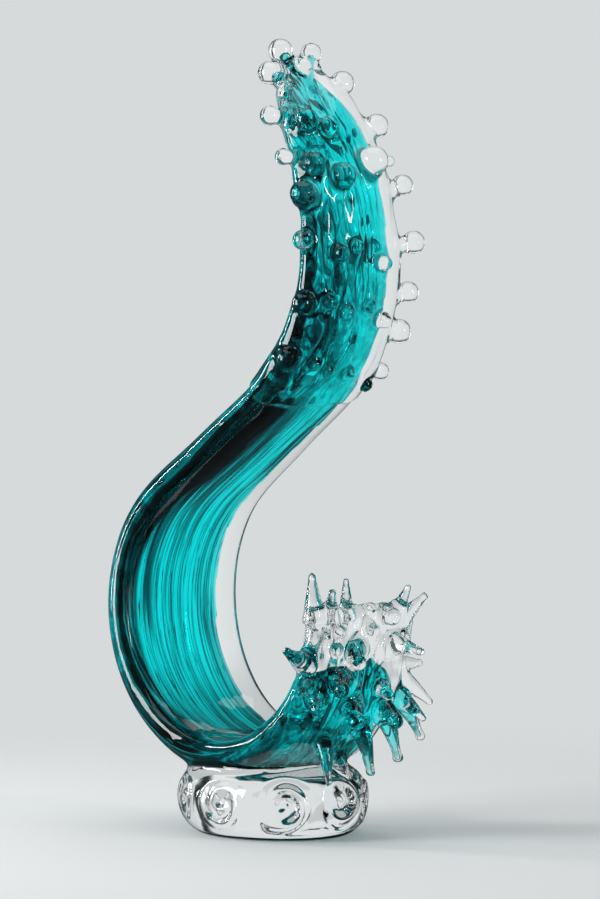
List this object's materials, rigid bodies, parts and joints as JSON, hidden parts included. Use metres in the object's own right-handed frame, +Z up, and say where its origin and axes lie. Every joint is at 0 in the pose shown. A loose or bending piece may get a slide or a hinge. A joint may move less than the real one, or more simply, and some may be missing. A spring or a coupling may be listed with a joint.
{
  "type": "glass wave sculpture",
  "caption": "Free-standing art-glass wave: a coloured, clear-cased ribbon rising from a clear foot in an S-curve, with fused drops on the plume and a spiky splash.",
  "frame": {"origin": "middle of the flat face under the base block", "axes": "+Z up; +X from the back of the bowl towards the splash, in the wave's own upright plane; +Y across the ribbon, away from the viewer"},
  "size_m": [0.2313, 0.1354, 0.516],
  "materials": {
    "clear_glass": "fire-polished clear glass",
    "teal_glass": "transparent teal glass cased in clear"
  },
  "bodies": {
    "root": {"back_drop_1": "clear_glass", "back_drop_2": "clear_glass", "back_drop_3": "clear_glass", "back_drop_4": "clear_glass", "base_block": "clear_glass", "drip_1": "clear_glass", "drip_2": "clear_glass", "drip_3": "clear_glass", "drip_4": "clear_glass", "drip_5": "clear_glass", "face_drop_1": "clear_glass", "face_drop_2": "clear_glass", "face_drop_3": "clear_glass", "face_drop_4": "clear_glass", "face_drop_5": "clear_glass", "face_spike_1": "clear_glass", "face_spike_2": "clear_glass", "face_spike_3": "clear_glass", "face_spike_4": "clear_glass", "face_spike_5": "clear_glass", "face_spike_6": "clear_glass", "far_edge_drop_1": "clear_glass", "far_edge_drop_2": "clear_glass", "far_edge_drop_3": "clear_glass", "far_edge_drop_4": "clear_glass", "far_edge_drop_5": "clear_glass", "far_edge_drop_6": "clear_glass", "far_edge_drop_7": "clear_glass", "far_edge_drop_8": "clear_glass", "far_spike_1": "clear_glass", "far_spike_2": "clear_glass", "far_spike_3": "clear_glass", "far_spike_4": "clear_glass", "far_spike_5": "clear_glass", "far_spike_6": "clear_glass", "lip_knob": "clear_glass", "lip_spike_1": "clear_glass", "lip_spike_2": "clear_glass", "lip_spike_3": "clear_glass", "lip_spike_4": "clear_glass", "lower_bead_row": "clear_glass", "middle_bead_row": "clear_glass", "near_edge_drop_1": "clear_glass", "near_edge_drop_2": "clear_glass", "near_edge_drop_3": "clear_glass", "near_edge_drop_4": "clear_glass", "near_edge_drop_5": "clear_glass", "near_edge_drop_6": "clear_glass", "near_spike_1": "clear_glass", "near_spike_2": "clear_glass", "splash_beads": "clear_glass", "splash_lip": "clear_glass", "tip_drop_far": "clear_glass", "tip_drop_front": "clear_glass", "tip_drop_near": "clear_glass", "tip_drop_top": "clear_glass", "upper_bead_row": "clear_glass", "wave_casing": "clear_glass", "wave_core": "teal_glass"}
  },
  "joints": []
}
